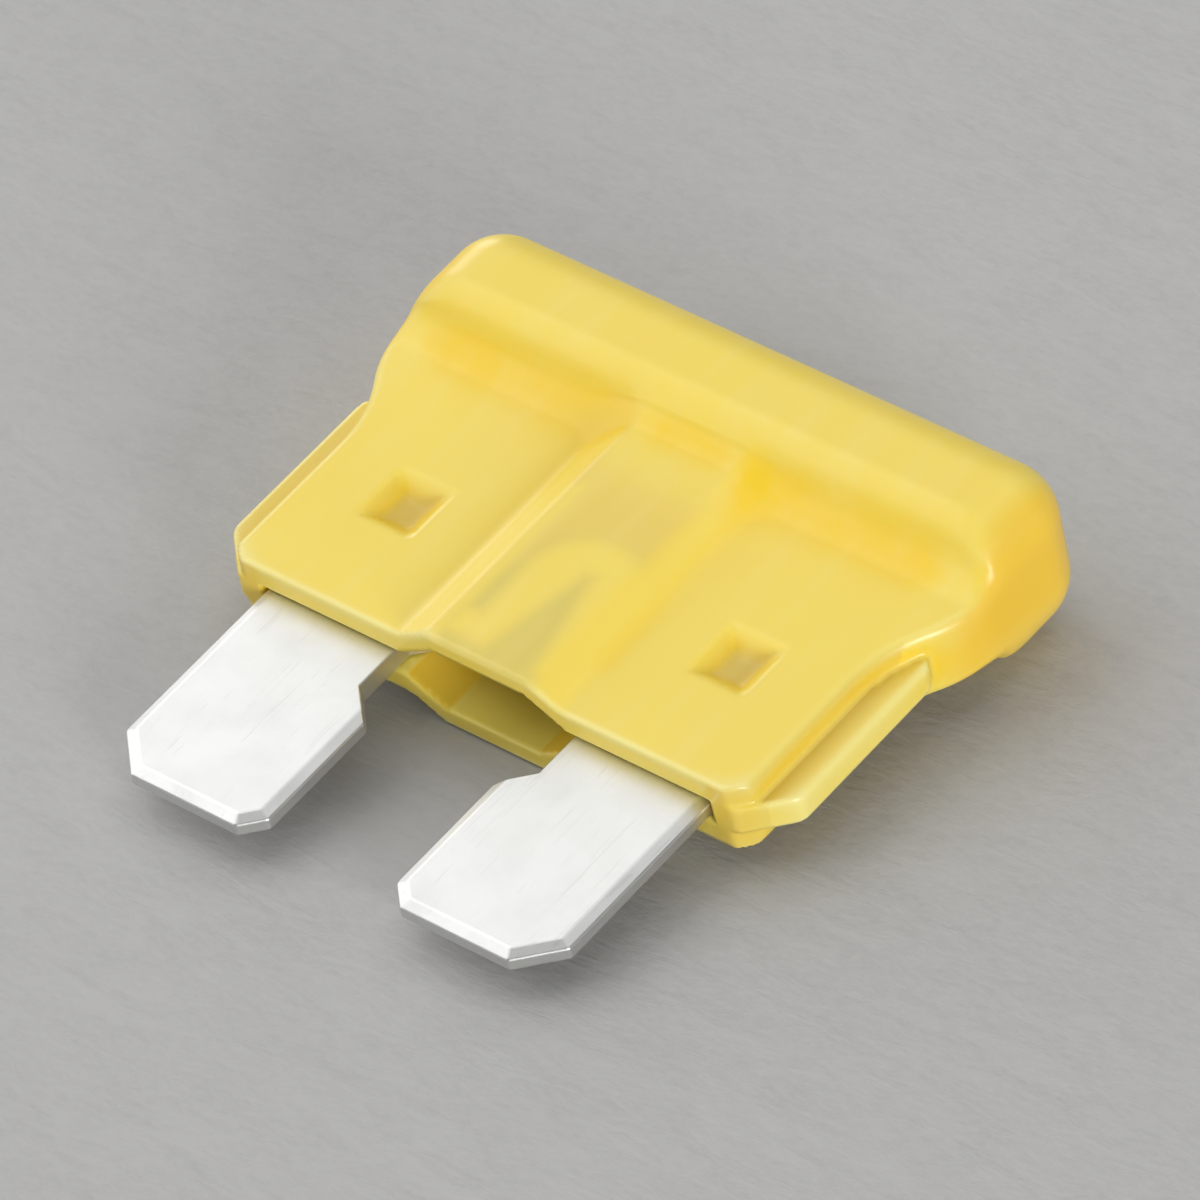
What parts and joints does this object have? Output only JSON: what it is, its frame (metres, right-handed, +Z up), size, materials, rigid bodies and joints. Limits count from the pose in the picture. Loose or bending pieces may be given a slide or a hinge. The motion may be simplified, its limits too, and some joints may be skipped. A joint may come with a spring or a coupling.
{
  "type": "automotive blade fuse",
  "caption": "Plug-in blade fuse: flat tinned blades under a translucent yellow housing with a thick rounded grip head, guide ribs on its sides and an open-bottomed chamber for the fusible link",
  "frame": {"origin": "centre of the bounding box's base, on the surface the fuse lies on", "axes": "the fuse lies on its back: +X runs across both blades, +Y from the blade tips towards the head, +Z up. The fuse's own length is tilted up from +Y by about 5 degrees, because it rests on the back of its head and on the back edge of its mouth"},
  "size_m": [0.0194, 0.0192, 0.0051],
  "materials": {
    "housing": "translucent, semi-gloss moulded",
    "tinned_metal": "satin tin plating"
  },
  "bodies": {
    "root": {"housing": "housing", "fuse_element": "tinned_metal"}
  },
  "joints": []
}
